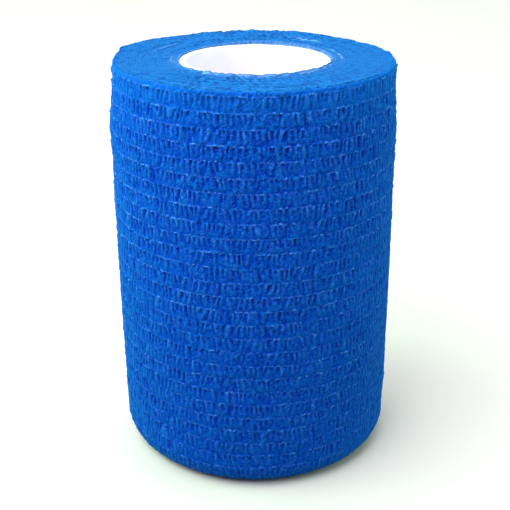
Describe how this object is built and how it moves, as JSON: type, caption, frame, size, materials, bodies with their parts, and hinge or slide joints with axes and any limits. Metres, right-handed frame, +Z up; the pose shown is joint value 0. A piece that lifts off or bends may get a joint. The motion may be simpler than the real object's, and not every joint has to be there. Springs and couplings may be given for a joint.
{
  "type": "cohesive bandage roll",
  "caption": "Roll of elastic cohesive bandage wound on a hollow plastic core and stood on its flat end; it sticks to itself and wraps joints, limbs or dressings.",
  "frame": {"origin": "middle of the flat bottom end, on the axis of the core", "axes": "+Z up the axis of the roll, +Y towards the cut end of the cloth at the back, -Y towards the picture's viewer, +X to that viewer's right"},
  "size_m": [0.0528, 0.0531, 0.0755],
  "materials": {
    "bandage_cloth": "matt blue nonwoven cloth, puckered between elastic threads, with a dry cohesive coating",
    "core_plastic": "smooth white moulded plastic"
  },
  "bodies": {
    "root": {"bandage_roll": "bandage_cloth", "core_tube": "core_plastic"}
  },
  "joints": []
}
